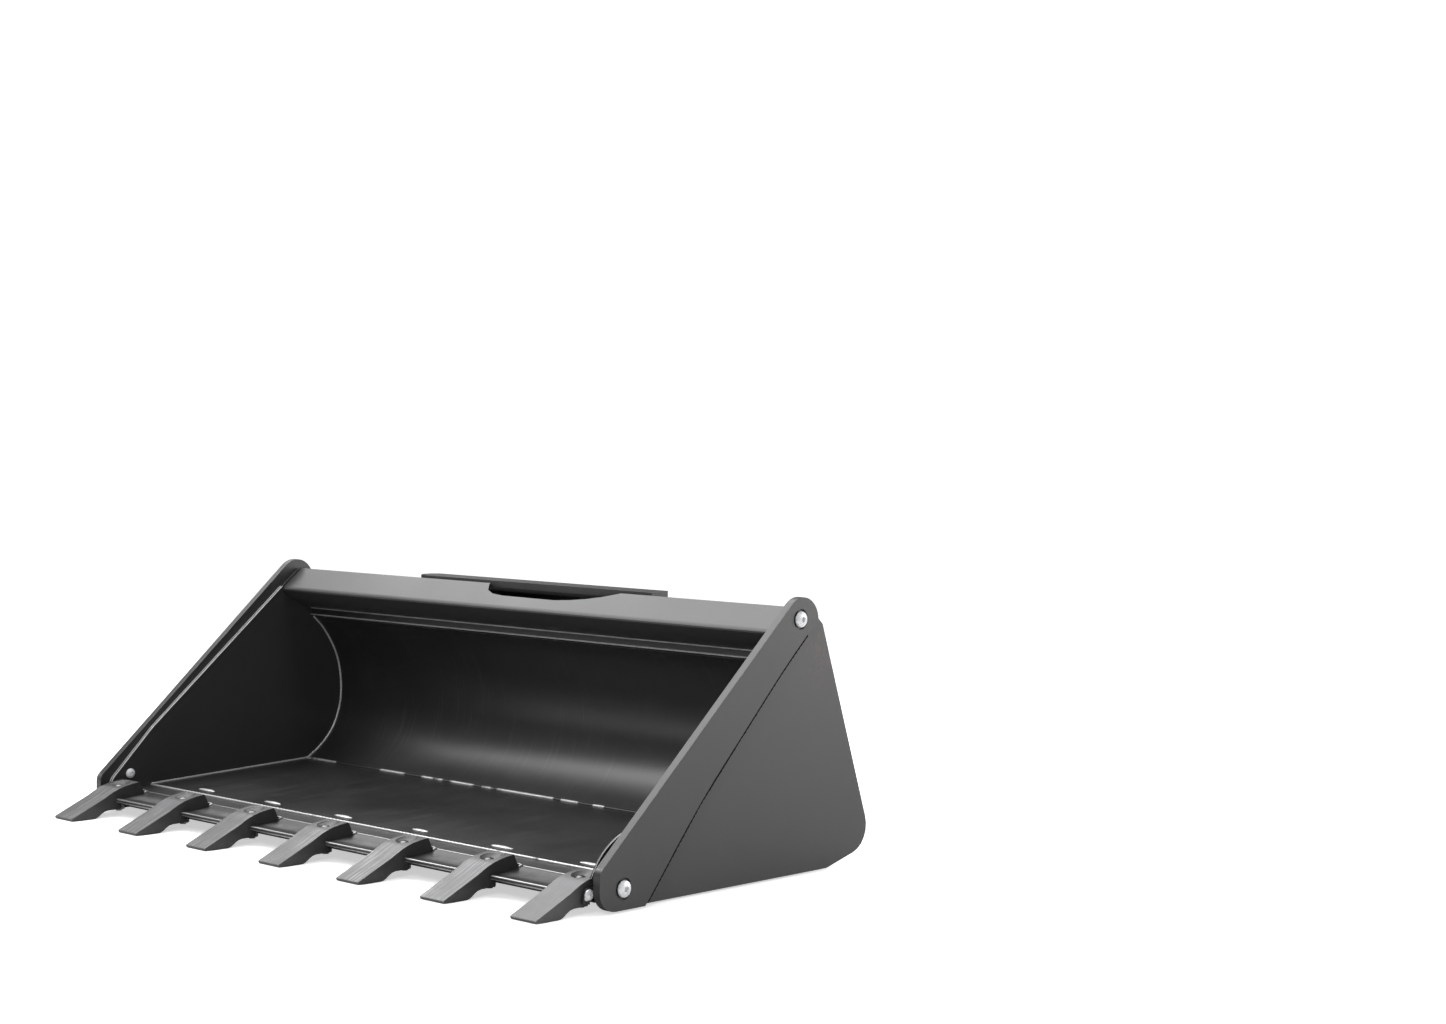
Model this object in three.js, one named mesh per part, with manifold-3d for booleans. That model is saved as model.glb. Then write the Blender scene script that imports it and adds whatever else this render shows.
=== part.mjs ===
// Skid steer bucket: a wide open scoop of welded plate with a toothed front edge.
// Millimetres. +Z is up, the teeth point towards -Y, the machine stands at +Y, X is the width.
// The part stands on the ground plane z = 0, on its tooth heels and skid bars.
import * as THREE from 'three';
import Module from 'manifold-3d';

const wasm = await Module();
wasm.setup();

// ---- driving dimensions -------------------------------------------------
const WIDTH = 1880;            // over the two side cutters
const CUTTER_THICK = 20;       // bolt-on side cutter
const SIDE_THICK = 9.7;        // side plate
const GAP = 0.3;               // clearance between touching pieces
const SHELL_THICK = 6.5;
const FLOOR_THICK = 8;
const BEAM_THICK = 6.5;
const TOOTH_COUNT = 7;
const TOOTH_PITCH = 288;
const TOOTH_WIDTH = 78;
const SEGMENT_RADIUS = 12;     // plan radius at the front corners of a segment
const DOME_RADIUS = 18.5;      // heads of the side bolts
const SIDE_SHANK = 10;         // shank radius of the side bolts
const TOOTH_BOLT_Y = -462;
const TOOTH_SHANK = 8;         // shank radius of the tooth bolts
const POCKET_SEAT_Z = 67.6;    // where a tooth bolt head sits
const FLOOR_FRONT_Y = -335;
const FLOOR_REAR_Y = 167;
const FLOOR_FRONT_Z = 58;
const FLOOR_SLOPE = 0.04;
const SHELF_BOTTOM = 24;       // step under the teeth and segments
const SHELF_TOP = 36;
const SHELF_FRONT_Y = -478;
const EDGE_STEP_Y = -402;
const MOUNT_HALF = 570;        // half width of the machine-side plate
const MOUNT_THICK = 10;
const MOUNT_BOTTOM = 58;       // plate start and end, measured up the leaning rear plane
const MOUNT_TOP = 500;
const RAIL_DROP = 0.05;        // how far the open part of the rail stays below the plate's edge
const SLOT_X = 425;            // centre of each latch slot
const SLOT_LENGTH = 70;
const SLOT_WIDTH = 26;
const SKID_HALF = 20;          // half width of a skid bar
const RIB_HALF = 5;            // half thickness of an upright rib
const MID_DEPTH = 76.3;        // puts the origin under the middle of the part

const CUTTER_IN = WIDTH / 2 - CUTTER_THICK;
const SIDE_OUT = CUTTER_IN - GAP;
const SIDE_IN = SIDE_OUT - SIDE_THICK;
const INSIDE = SIDE_IN - GAP;

// ---- looks --------------------------------------------------------------
const paint = (hex, roughness, metalness) =>
  new THREE.MeshStandardMaterial({ color: hex, roughness, metalness });

const group = new THREE.Group();
group.name = 'skid_steer_bucket';

// The side-view coordinates below are moved along Y so that the origin is at mid depth.
function add(name, geometry, material) {
  geometry.translate(0, MID_DEPTH, 0);
  const mesh = new THREE.Mesh(geometry, material);
  mesh.name = name;
  group.add(mesh);
}

// ---- helpers ------------------------------------------------------------
// A closed shape, run counter-clockwise, with round holes given as [a, b, radius].
function outlineShape(points, holes) {
  const path = points.map(([a, b]) => new THREE.Vector2(a, b));
  if (THREE.ShapeUtils.isClockWise(path)) path.reverse();
  const shape = new THREE.Shape(path);
  for (const [a, b, radius] of holes) {
    const hole = new THREE.Path();
    hole.absarc(a, b, radius, 0, Math.PI * 2, true);
    shape.holes.push(hole);
  }
  return shape;
}

// Extrudes a side-view outline of [y, z] points along the width, from x0 to x1.
function plate(points, x0, x1, holes = []) {
  const shape = outlineShape(points, holes);
  const geometry = new THREE.ExtrudeGeometry(shape, {
    depth: x1 - x0, bevelEnabled: false, curveSegments: 12,
  });
  const turn = new THREE.Matrix4().makeBasis(
    new THREE.Vector3(0, 1, 0),
    new THREE.Vector3(0, 0, 1),
    new THREE.Vector3(1, 0, 0),
  );
  geometry.applyMatrix4(turn);
  geometry.translate(x0, 0, 0);
  return geometry;
}

// Extrudes a plan-view outline of [x, y] points upwards, from z0 to z1.
function prism(points, z0, z1, holes = []) {
  const shape = outlineShape(points, holes);
  const geometry = new THREE.ExtrudeGeometry(shape, {
    depth: z1 - z0, bevelEnabled: false, curveSegments: 10,
  });
  geometry.translate(0, 0, z0);
  return geometry;
}

// Replaces each listed corner [x, y, radius] of an outline by a short arc.
function rounded(corners, steps = 5) {
  const out = [];
  corners.forEach(([x, y, radius], i) => {
    if (!radius) {
      out.push([x, y]);
      return;
    }
    const last = corners[(i + corners.length - 1) % corners.length];
    const next = corners[(i + 1) % corners.length];
    const here = new THREE.Vector2(x, y);
    const a = new THREE.Vector2(last[0], last[1]).sub(here).normalize();
    const b = new THREE.Vector2(next[0], next[1]).sub(here).normalize();
    const half = Math.acos(THREE.MathUtils.clamp(a.dot(b), -1, 1)) / 2;
    const reach = radius / Math.tan(half);
    const start = here.clone().addScaledVector(a, reach);
    const end = here.clone().addScaledVector(b, reach);
    const middle = a.clone().add(b).normalize();
    const centre = here.clone().addScaledVector(middle, radius / Math.sin(half));
    const from = Math.atan2(start.y - centre.y, start.x - centre.x);
    let sweep = Math.atan2(end.y - centre.y, end.x - centre.x) - from;
    if (sweep > Math.PI) sweep -= Math.PI * 2;
    if (sweep < -Math.PI) sweep += Math.PI * 2;
    for (let k = 0; k <= steps; k += 1) {
      const angle = from + (sweep * k) / steps;
      out.push([centre.x + radius * Math.cos(angle), centre.y + radius * Math.sin(angle)]);
    }
  });
  return out;
}

// Points along a smooth curve through the given [y, z] points.
function smooth(points, count) {
  const curve = new THREE.SplineCurve(points.map(([y, z]) => new THREE.Vector2(y, z)));
  return curve.getSpacedPoints(count).map((p) => [p.x, p.y]);
}

// The same line moved sideways by a distance, to the right of its direction of travel.
function shifted(points, distance) {
  return points.map(([y, z], i) => {
    const a = points[Math.max(i - 1, 0)];
    const b = points[Math.min(i + 1, points.length - 1)];
    const length = Math.hypot(b[0] - a[0], b[1] - a[1]);
    return [y + (distance * (b[1] - a[1])) / length, z - (distance * (b[0] - a[0])) / length];
  });
}

// Boolean helper: a geometry to a solid and back.
function solid(geometry) {
  const position = geometry.attributes.position;
  const keys = new Map();
  const verts = [];
  const tris = [];
  const count = geometry.index ? geometry.index.count : position.count;
  for (let i = 0; i < count; i += 1) {
    const j = geometry.index ? geometry.index.getX(i) : i;
    const point = [position.getX(j), position.getY(j), position.getZ(j)];
    const key = point.map((v) => Math.round(v * 1e4)).join();
    if (!keys.has(key)) {
      keys.set(key, verts.length / 3);
      verts.push(...point);
    }
    tris.push(keys.get(key));
  }
  const triVerts = [];
  for (let i = 0; i < tris.length; i += 3) {
    const [a, b, c] = tris.slice(i, i + 3);
    if (a !== b && b !== c && a !== c) triVerts.push(a, b, c);
  }
  return new wasm.Manifold(new wasm.Mesh({
    numProp: 3,
    vertProperties: new Float32Array(verts),
    triVerts: new Uint32Array(triVerts),
  }));
}

function surface(body) {
  const mesh = body.getMesh();
  const geometry = new THREE.BufferGeometry();
  geometry.setAttribute('position', new THREE.BufferAttribute(new Float32Array(mesh.vertProperties), 3));
  geometry.setIndex(new THREE.BufferAttribute(new Uint32Array(mesh.triVerts), 1));
  const flat = geometry.toNonIndexed();
  flat.computeVertexNormals();
  return flat;
}

const cut = (geometry, ...tools) =>
  surface(tools.reduce((body, tool) => body.subtract(solid(tool)), solid(geometry)));
const keep = (geometry, tool) => surface(solid(geometry).intersect(solid(tool)));

// An upright round bar.
function post(x, y, z0, z1, radius) {
  const geometry = new THREE.CylinderGeometry(radius, radius, z1 - z0, 16);
  geometry.rotateX(Math.PI / 2);
  geometry.translate(x, y, (z0 + z1) / 2);
  return geometry;
}

// A bolt with a low domed head and a hex socket; the head points along +Y of the lathe.
function domeBolt(head, rise, shank, length) {
  const profile = [new THREE.Vector2(0, -length), new THREE.Vector2(shank, -length)];
  profile.push(new THREE.Vector2(shank, 0));
  const steps = 4;
  for (let i = 0; i <= steps; i += 1) {
    const angle = (i / steps) * (Math.PI / 2);
    const radius = i === steps ? 0 : head * Math.cos(angle);
    profile.push(new THREE.Vector2(radius, 0.15 * rise + 0.85 * rise * Math.sin(angle)));
    if (i === 0) profile.splice(3, 0, new THREE.Vector2(head, 0));
  }
  const body = new THREE.LatheGeometry(profile, 16);
  const socket = new THREE.CylinderGeometry(head * 0.34, head * 0.34, rise, 6);
  socket.translate(0, rise * 1.05, 0);
  return cut(body, socket);
}

// Turns a bolt so that its head points outwards along X.
function sideways(geometry, side, x, y, z) {
  geometry.rotateZ(side > 0 ? -Math.PI / 2 : Math.PI / 2);
  geometry.translate(side * x, y, z);
  return geometry;
}

// Point on the leaning rear plane: n mm out of it and u mm up along it.
const LEAN = Math.atan2(98, 282);
function rear(n, u) {
  return [
    406.6 - u * Math.sin(LEAN) + n * Math.cos(LEAN),
    60 + u * Math.cos(LEAN) + n * Math.sin(LEAN),
  ];
}

// ---- scoop: shell, floor, sides, top beam --------------------------------
const floorTop = (y) => FLOOR_FRONT_Z + FLOOR_SLOPE * (y - FLOOR_FRONT_Y);
const shellInside = smooth([
  [167.4, 78], [205, 102], [236, 130.5], [260, 163], [275, 199], [283.5, 236],
  [285, 273], [282, 308], [274.5, 344], [260.5, 379], [240, 414], [217, 444], [190, 470],
], 26);
const shellOutside = shifted(shellInside, SHELL_THICK);

function makeShell() {
  const outline = [...shellInside, ...shellOutside.slice().reverse()];
  add('shell', plate(outline, -INSIDE, INSIDE), paint(0x15171a, 0.42, 0.0));
}

function makeFloor() {
  const outline = rounded([
    [FLOOR_FRONT_Y, floorTop(FLOOR_FRONT_Y) - FLOOR_THICK],
    [FLOOR_REAR_Y, floorTop(FLOOR_REAR_Y) - FLOOR_THICK],
    [FLOOR_REAR_Y, floorTop(FLOOR_REAR_Y)],
    [FLOOR_FRONT_Y, floorTop(FLOOR_FRONT_Y), 1.8],
  ], 3);
  add('floor_plate', plate(outline, -INSIDE, INSIDE), paint(0x1b1d1f, 0.45, 0.0));
}

function makeSidePlates() {
  const outline = rounded([
    [84, 558], [139, 604], [170, 604], [182, 580], [214, 580, 10], [232, 563],
    [410, 46, 62], [252, 4.5], [-452, 4.5, 34], [-455, 78, 30], [-330, 206, 90],
  ], 6);
  const holes = [[134, 580, SIDE_SHANK + GAP], [-411, 50, SIDE_SHANK + GAP], [-398, 92, 8.3]];
  const look = paint(0x17191b, 0.42, 0.0);
  add('side_plate_left', plate(outline, -SIDE_OUT, -SIDE_IN, holes), look);
  add('side_plate_right', plate(outline, SIDE_IN, SIDE_OUT, holes), look);
}

function makeSideCutters() {
  const boss = [141, 576];
  const arc = [];
  for (let i = 0; i <= 14; i += 1) {
    const angle = THREE.MathUtils.degToRad(132 - (i * 132) / 14);
    arc.push([boss[0] + 53 * Math.cos(angle), boss[1] + 53 * Math.sin(angle)]);
  }
  const backEdge = smooth([[161, 547.8], [73.7, 466.7], [-60, 331], [-185.5, 201], [-339.5, 15]], 12);
  const front = rounded([[-348, 5], [-480, 5, 46], [-480, 90.7, 26], arc[0]], 7).slice(1, -1);
  const outline = [...arc, ...backEdge, [-348, 5], ...front];
  const holes = [[134, 580, SIDE_SHANK + GAP], [-411, 50, SIDE_SHANK + GAP]];
  const look = paint(0x1a1c1e, 0.4, 0.0);
  add('side_cutter_left', plate(outline, -WIDTH / 2, -CUTTER_IN, holes), look);
  add('side_cutter_right', plate(outline, CUTTER_IN, WIDTH / 2, holes), look);
}

function makeTopBeam() {
  const outside = [
    [147, 605], [92, 559.2], [88, 555], [86, 550.5], [87, 546.5], [90.5, 543],
    [116, 522], [134, 512], [154, 503], [179.6, 495.2],
  ];
  const inside = shifted(outside, -BEAM_THICK).reverse();
  const folded = plate([...outside, ...inside], -INSIDE, INSIDE);
  const notch = prism([
    [-122, 170], [-121, 143], [-108, 128], [-82, 119.5], [-40, 116], [150, 115],
    [206, 119], [256, 125.5], [300, 133.5], [352, 147], [352, 170],
  ], 556, 640);
  add('top_beam', cut(folded, notch), paint(0x1b1d20, 0.4, 0.0));
}

function makeTopLip() {
  const outline = [[180.3, 494.6], [180.3, 476], [188.6, 471], [191.4, 474.6], [191.4, 494.6]];
  add('top_lip', plate(outline, -INSIDE, INSIDE), paint(0x1b1d20, 0.4, 0.0));
}

// ---- front edge: stepped cutting edge, segments, teeth --------------------
const toothX = (i) => (i - (TOOTH_COUNT - 1) / 2) * TOOTH_PITCH;

function makeCuttingEdge() {
  const outline = rounded([
    [FLOOR_FRONT_Y + 60, floorTop(FLOOR_FRONT_Y + 60) - FLOOR_THICK - GAP],
    [FLOOR_FRONT_Y + 40, SHELF_BOTTOM + 4, 4],
    [SHELF_FRONT_Y + 12, SHELF_BOTTOM],
    [SHELF_FRONT_Y, SHELF_BOTTOM + 7],
    [SHELF_FRONT_Y, SHELF_TOP, 3],
    [EDGE_STEP_Y, SHELF_TOP],
    [EDGE_STEP_Y, 54.5, 2.5],
    [FLOOR_FRONT_Y - GAP, 54.5],
    [FLOOR_FRONT_Y - GAP, floorTop(FLOOR_FRONT_Y) - FLOOR_THICK - GAP],
  ], 3);
  const bores = [];
  for (let i = 0; i < TOOTH_COUNT; i += 1) {
    bores.push(post(toothX(i), TOOTH_BOLT_Y, 0, 48, TOOTH_SHANK + GAP));
  }
  add('cutting_edge', cut(plate(outline, -INSIDE, INSIDE), ...bores), paint(0x202224, 0.38, 0.2));
}

function makeSegments() {
  const outline = rounded([
    [EDGE_STEP_Y - GAP, SHELF_TOP + GAP],
    [EDGE_STEP_Y - GAP, 54],
    [-412, 52], [-424, 48.4], [-438, 46], [-454, 44.9], [-470, 44.8], [-484, 45.6],
    [-498, 47, 3.2],
    [-499, 37.5, 2.5],
    [-490, SHELF_TOP + GAP],
  ], 3);
  const look = paint(0x3a3d40, 0.32, 0.4);
  for (let i = 0; i < TOOTH_COUNT - 1; i += 1) {
    const x0 = toothX(i) + TOOTH_WIDTH / 2 + GAP;
    const x1 = toothX(i + 1) - TOOTH_WIDTH / 2 - GAP;
    const plan = rounded([
      [x0, -390], [x0, -485, 10], [x0 + 10, -505, SEGMENT_RADIUS],
      [x1 - 10, -505, SEGMENT_RADIUS], [x1, -485, 10], [x1, -390],
    ], 4);
    add(`edge_segment_${i + 1}`, keep(plate(outline, x0, x1), prism(plan, 0, 100)), look);
  }
}

function makeTeeth() {
  const outline = [
    [-621.5, 1], [-623.5, 6.5], [-622, 8], [-528, 50], [-514, 57.6], [-500, 64.6], [-485, 70.4],
    [-469, 75], [-448, 78.8], [-427, 81.5], [-424.5, 80], [-415, 60], [-403, 56.5],
    [EDGE_STEP_Y - 2 * GAP, 54.5], [EDGE_STEP_Y - 2 * GAP, SHELF_TOP + GAP],
    [SHELF_FRONT_Y - GAP, SHELF_TOP + GAP], [SHELF_FRONT_Y - GAP, 18], [-502, 18],
    [-518, 17.8], [-528, 15.6], [-536, 11.4], [-545, 5], [-552, 1.4], [-559, 0],
    [-600, 0],
  ];
  const look = paint(0x7b7f83, 0.34, 0.75);
  const boltLook = paint(0xc9ccd0, 0.25, 0.9);
  for (let i = 0; i < TOOTH_COUNT; i += 1) {
    const x = toothX(i);
    const blank = plate(outline, x - TOOTH_WIDTH / 2, x + TOOTH_WIDTH / 2);
    const dish = new THREE.SphereGeometry(46, 24, 12);
    dish.translate(x, TOOTH_BOLT_Y, POCKET_SEAT_Z + 46);
    const seat = post(x, TOOTH_BOLT_Y, POCKET_SEAT_Z, 90, 12);
    const bore = post(x, TOOTH_BOLT_Y, 10, 90, TOOTH_SHANK + GAP);
    add(`tooth_${i + 1}`, cut(blank, dish, seat, bore), look);
    const bolt = domeBolt(11.5, 7, TOOTH_SHANK, POCKET_SEAT_Z - 8);
    bolt.rotateX(Math.PI / 2);
    bolt.translate(x, TOOTH_BOLT_Y, POCKET_SEAT_Z + GAP);
    add(`tooth_bolt_${i + 1}`, bolt, boltLook);
    const hex = [];
    for (let k = 0; k < 6; k += 1) {
      hex.push([x + 15 * Math.cos((k * Math.PI) / 3), TOOTH_BOLT_Y + 15 * Math.sin((k * Math.PI) / 3)]);
    }
    const nut = prism(hex, 12, SHELF_BOTTOM - 2 * GAP, [[x, TOOTH_BOLT_Y, TOOTH_SHANK + GAP]]);
    add(`tooth_nut_${i + 1}`, nut, boltLook);
  }
}

// ---- fasteners at the sides ----------------------------------------------
function makeSideBolts() {
  const look = paint(0xd0d3d6, 0.25, 0.9);
  const spots = { top: [134, 580], low: [-411, 50] };
  for (const [place, [y, z]] of Object.entries(spots)) {
    for (const side of [-1, 1]) {
      const word = side < 0 ? 'left' : 'right';
      const bolt = domeBolt(DOME_RADIUS, 9, SIDE_SHANK, CUTTER_THICK + SIDE_THICK);
      add(`side_bolt_${place}_${word}`, sideways(bolt, side, WIDTH / 2 + GAP, y, z), look);
    }
  }
  for (const side of [-1, 1]) {
    const word = side < 0 ? 'left' : 'right';
    const bolt = domeBolt(13, 8, 8, SIDE_THICK);
    add(`inner_bolt_${word}`, sideways(bolt, -side, -(SIDE_IN - GAP), -398, 92), look);
  }
}

function makeEndBlocks() {
  const x0 = toothX(TOOTH_COUNT - 1) + TOOTH_WIDTH / 2 + GAP;
  const x1 = SIDE_IN;
  const outline = rounded([
    [-499, 24, 5], [SHELF_FRONT_Y - 0.6, 22], [SHELF_FRONT_Y - 0.6, SHELF_TOP + GAP],
    [-460, SHELF_TOP + GAP], [-460, 55, 5], [-491, 58, 8],
  ], 3);
  for (const side of [-1, 1]) {
    const word = side < 0 ? 'left' : 'right';
    const from = side < 0 ? -x1 : x0;
    const to = side < 0 ? -x0 : x1;
    const block = plate(outline, from, to, [[-483, 43, 5.3]]);
    add(`end_block_${word}`, block, paint(0x17191b, 0.45, 0.0));
    const bolt = domeBolt(12, 8, 5, x1 - x0);
    add(`end_bolt_${word}`, sideways(bolt, side, x1 + GAP, -483, 43), paint(0xd0d3d6, 0.25, 0.9));
  }
}

// ---- underside and machine side -------------------------------------------
function makeSkidBars() {
  const y0 = FLOOR_FRONT_Y + 75;
  const y1 = FLOOR_REAR_Y - 2;
  const top = (y) => floorTop(y) - FLOOR_THICK - GAP;
  const outline = [[y0, 22], [y0 + 26, 0], [y1 - 40, 0], [y1, 30], [y1, top(y1)], [y0, top(y0)]];
  const look = paint(0x1b1d1f, 0.5, 0.0);
  [-720, -260, 260, 720].forEach((x, i) => {
    add(`skid_bar_${i + 1}`, plate(outline, x - SKID_HALF, x + SKID_HALF), look);
  });
}

function makeMount() {
  const look = paint(0x18191b, 0.45, 0.0);
  const face = [
    rear(0, MOUNT_BOTTOM), rear(MOUNT_THICK, MOUNT_BOTTOM),
    rear(MOUNT_THICK, MOUNT_TOP), rear(0, MOUNT_TOP),
  ];
  add('mount_face_plate', plate(face, -MOUNT_HALF, MOUNT_HALF), look);
  const hook = [
    rear(0, MOUNT_TOP + GAP), rear(MOUNT_THICK, MOUNT_TOP + GAP),
    rear(MOUNT_THICK, MOUNT_TOP + 40), rear(15, MOUNT_TOP + 42.5), rear(62, MOUNT_TOP - 2),
    rear(70, MOUNT_TOP + 7), rear(17, MOUNT_TOP + 59), rear(12, MOUNT_TOP + 59),
    rear(0, MOUNT_TOP + 48),
  ];
  add('mount_hook_rail', plate(hook, -MOUNT_HALF, MOUNT_HALF), look);
  const shelf = [
    rear(-34, MOUNT_BOTTOM - GAP - 12), rear(84, MOUNT_BOTTOM - GAP - 12),
    rear(84, MOUNT_BOTTOM - RAIL_DROP), rear(MOUNT_THICK + GAP, MOUNT_BOTTOM - RAIL_DROP),
    rear(MOUNT_THICK + GAP, MOUNT_BOTTOM - GAP), rear(-34, MOUNT_BOTTOM - GAP),
  ];
  const slots = [];
  for (const side of [-1, 1]) {
    const outline = [
      rear(48 - SLOT_WIDTH / 2, 20), rear(48 + SLOT_WIDTH / 2, 20),
      rear(48 + SLOT_WIDTH / 2, 90), rear(48 - SLOT_WIDTH / 2, 90),
    ];
    slots.push(plate(outline, side * SLOT_X - SLOT_LENGTH / 2, side * SLOT_X + SLOT_LENGTH / 2));
  }
  add('mount_bottom_rail', cut(plate(shelf, -MOUNT_HALF, MOUNT_HALF), ...slots), look);
  const cap = (outline) => prism(rounded(outline, 3), 595, 611.5);
  add('top_plate_left', cap([
    [-431, 180], [-402, 153], [9.85, 153, 0.5], [9.85, 228, 0.5], [-414, 228, 10], [-431, 212],
  ]), look);
  add('top_plate_right', cap([
    [10.15, 153, 0.5], [450, 153, 1], [450, 208, 14], [430, 228], [10.15, 228, 0.5],
  ]), look);
  makeRibs(look);
}

// Upright ribs that fill the space between the curved shell and the leaning plate.
function makeRibs(look) {
  const back = shifted(shellInside, SHELL_THICK + GAP).filter(([, z]) => z > 92 && z < 462);
  const outline = [...back, rear(-GAP, MOUNT_TOP - 30), rear(-GAP, MOUNT_BOTTOM + GAP)];
  outline.push(rear(-34, MOUNT_BOTTOM + GAP));
  const names = ['mount_gusset_left', 'rear_rib_left', 'rear_rib_right', 'mount_gusset_right'];
  [-552, -190, 190, 552].forEach((x, i) => {
    add(names[i], plate(outline, x - RIB_HALF, x + RIB_HALF), look);
  });
}

makeShell();
makeFloor();
makeSidePlates();
makeSideCutters();
makeTopBeam();
makeTopLip();
makeCuttingEdge();
makeSegments();
makeTeeth();
makeSideBolts();
makeEndBlocks();
makeSkidBars();
makeMount();

export default group;
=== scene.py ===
"""Skid steer bucket: finishes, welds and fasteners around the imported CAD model."""
import math
import random

import bpy
from mathutils import Matrix, Vector


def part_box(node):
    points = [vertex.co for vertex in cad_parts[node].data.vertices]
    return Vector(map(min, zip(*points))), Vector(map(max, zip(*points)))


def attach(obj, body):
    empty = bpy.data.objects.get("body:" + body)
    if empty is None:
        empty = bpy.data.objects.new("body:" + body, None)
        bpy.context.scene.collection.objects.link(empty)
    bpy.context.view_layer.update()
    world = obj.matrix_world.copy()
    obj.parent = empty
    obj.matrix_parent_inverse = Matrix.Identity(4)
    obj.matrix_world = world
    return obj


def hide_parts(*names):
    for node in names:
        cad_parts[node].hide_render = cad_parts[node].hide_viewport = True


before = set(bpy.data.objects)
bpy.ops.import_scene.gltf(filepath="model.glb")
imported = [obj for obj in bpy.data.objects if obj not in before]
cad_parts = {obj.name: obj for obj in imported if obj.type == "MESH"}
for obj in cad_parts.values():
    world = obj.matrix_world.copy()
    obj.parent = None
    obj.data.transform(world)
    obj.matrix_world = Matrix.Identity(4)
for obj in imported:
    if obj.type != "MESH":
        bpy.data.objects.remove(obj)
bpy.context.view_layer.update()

bl_info = {
    "name": "Skid Steer Bucket",
    "version": (1, 0, 0),
    "blender": (4, 5, 0),
    "location": "3D View > Sidebar > Bucket",
    "description": "Builds the painted, welded and worn pieces of a toothed loader bucket",
    "category": "Object",
}

BODY = "root"
PAINT, EDGE_STEEL = "black_paint", "edge_steel"
TOOTH_STEEL, ZINC = "tooth_steel", "zinc"
SIDES = (("left", -1), ("right", 1))
TEETH = range(1, 8)
SEGMENTS = range(1, 7)
SIDEWAYS = (0.0, math.pi / 2, 0.0)

# Lamp name, place, aim, size across and along, watts
LAMPS = (
    ("left_softbox", (-1.75, -0.35, 3.2), (0.1, 0.1, 0.2), (5.4, 3.2), 246.0),
    ("rear_softbox", (3.6, 3.3, 1.2), (0.9, 0.1, 0.3), (4.6, 2.6), 125.0),
    ("front_softbox", (3.2, -4.2, 3.4), (0.2, -0.1, 0.2), (1.6, 1.0), 72.0),
    ("top_softbox", (1.5, -0.2, 3.6), (0.2, -0.1, 0.2), (1.2, 2.6), 26.0),
)
CAMERA_PLACE = (4.51525, -3.82879, 1.02491)
CAMERA_TURNS = (43.3775, 2.1987, 0.4690)  # degrees round, down and tilted
CAMERA_LENS, CAMERA_SENSOR = 60.419, 36.0  # millimetres

# Working of the CAD copies: angles in degrees, lengths in metres
MERGE_GAP = 0.00002
FLAT_ANGLE, SHARP_ANGLE, SMOOTH_ANGLE = 0.4, 28.0, 50.0
ROUND_STEPS = 2

# Side view lines as depth and height: cutter from the top down, plate from the floor up
CUTTER_BACK = ((0.2373, 0.5478), (0.1500, 0.4667), (0.0163, 0.3310), (-0.1092, 0.2010),
               (-0.2632, 0.0150))
PLATE_FRONT = ((-0.3781, 0.0691), (-0.3762, 0.0770), (-0.3723, 0.0842), (-0.3697, 0.0873),
               (-0.2566, 0.2030), (-0.2505, 0.2087), (0.1603, 0.5580))
SHELL_MIDDLE = Vector((0.235, 0.265))  # depth and height inside the roll of the shell
SHELL_REACH = 0.0072  # just more than the shell's sheet, to pair its inner and outer corners
SHELL_BACK = 0.0078  # how far outside the inner line the rear bead runs
FLOOR_RISE = 0.04  # climb of the floor plate towards the back

# Where wear and the segments' painted highlight band start and where they are full, as
# heights and depths on the bucket
RUST_HEIGHT, RUST_DEPTH = (0.34, 0.6), (0.19, 0.3)
HIGHLIGHT_BAND_FRONT, HIGHLIGHT_BAND_BACK = (-0.398, -0.376), (-0.344, -0.368)
BLADE_BACK = (-0.414, -0.404)  # ground as far back as the first, cast skin from the second
SCRATCH_TONE, DUST_TONE = (0.12, 0.12, 0.12), (0.17, 0.165, 0.155)
SEGMENT_SCRATCH_TONE = (0.14, 0.14, 0.14)
# Near-black tones of the bead painted as shadow behind each side cutter
SEAM_SHADOW_TONES = ((0.004, 0.004, 0.004), (0.009, 0.009, 0.009))

# Paint name, colour, how much lighter its blotches are, roughness, rubbed edges, dust,
# drag marks and rust
PAINTS = (
    ("Plate paint", "paint", 1.3, 0.42, 0.46, 0.05, 0.16, True),
    ("Side paint", "paint", 1.3, 0.42, 0.80, 0.04, 0.16, True),
    ("Frame paint", "paint", 1.3, 0.40, 0.36, 0.10, 0.16, False),
    ("Floor paint", "scoop", 1.5, 0.32, 0.36, 0.06, 0.30, False),
    ("Scoop paint", "scoop", 1.5, 0.35, 0.36, 0.04, 0.27, False),
    ("Edge paint", "edge", 1.5, 0.40, 0.80, 0.02, 0.30, False),
    ("Lip paint", "scoop", 1.5, 0.36, 1.30, 0.0, 0.10, False),
)

# Kind of bolt: width across the flats of its socket, and its plating
BOLTS = {"side": (0.012, "Zinc plate"), "inner": (0.009, "Dull zinc"),
         "end": (0.008, "Zinc plate"), "tooth": (0.008, "Worn plate")}
TOOTH_BOLT_TURN = (0.0, 0.0, 0.3)
SOCKET_DEPTH = 0.55  # of its width across the flats
BOLT_ROUND, NUT_ROUND, SCREW_ROUND = 0.0006, 0.0008, 0.0003
SEAT_RADIUS, SEAT_DEPTH = 0.0232, 0.010
SCREW_RADIUS, SCREW_HEIGHT, SCREW_DOME, SCREW_STAND = 0.0058, 0.0036, 0.0016, 0.0016
SCREW_SOCKET, SCREW_SOCKET_DEPTH = 0.005, 0.002
SCREW_IN, SCREW_UP = 0.0085, 0.0365  # from the block's front, and above the ground

# Corner strip: the middle of its curve, its outer radius, its section and its arc
STRIP_MIDDLE = (-0.2478, 0.0040)
STRIP_RADIUS, STRIP_THICK, STRIP_DEEP, STRIP_GAP = 0.1675, 0.0058, 0.015, 0.0003
STRIP_START, STRIP_SWEEP, STRIP_STEPS = 108.0, 47.0, 14

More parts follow.
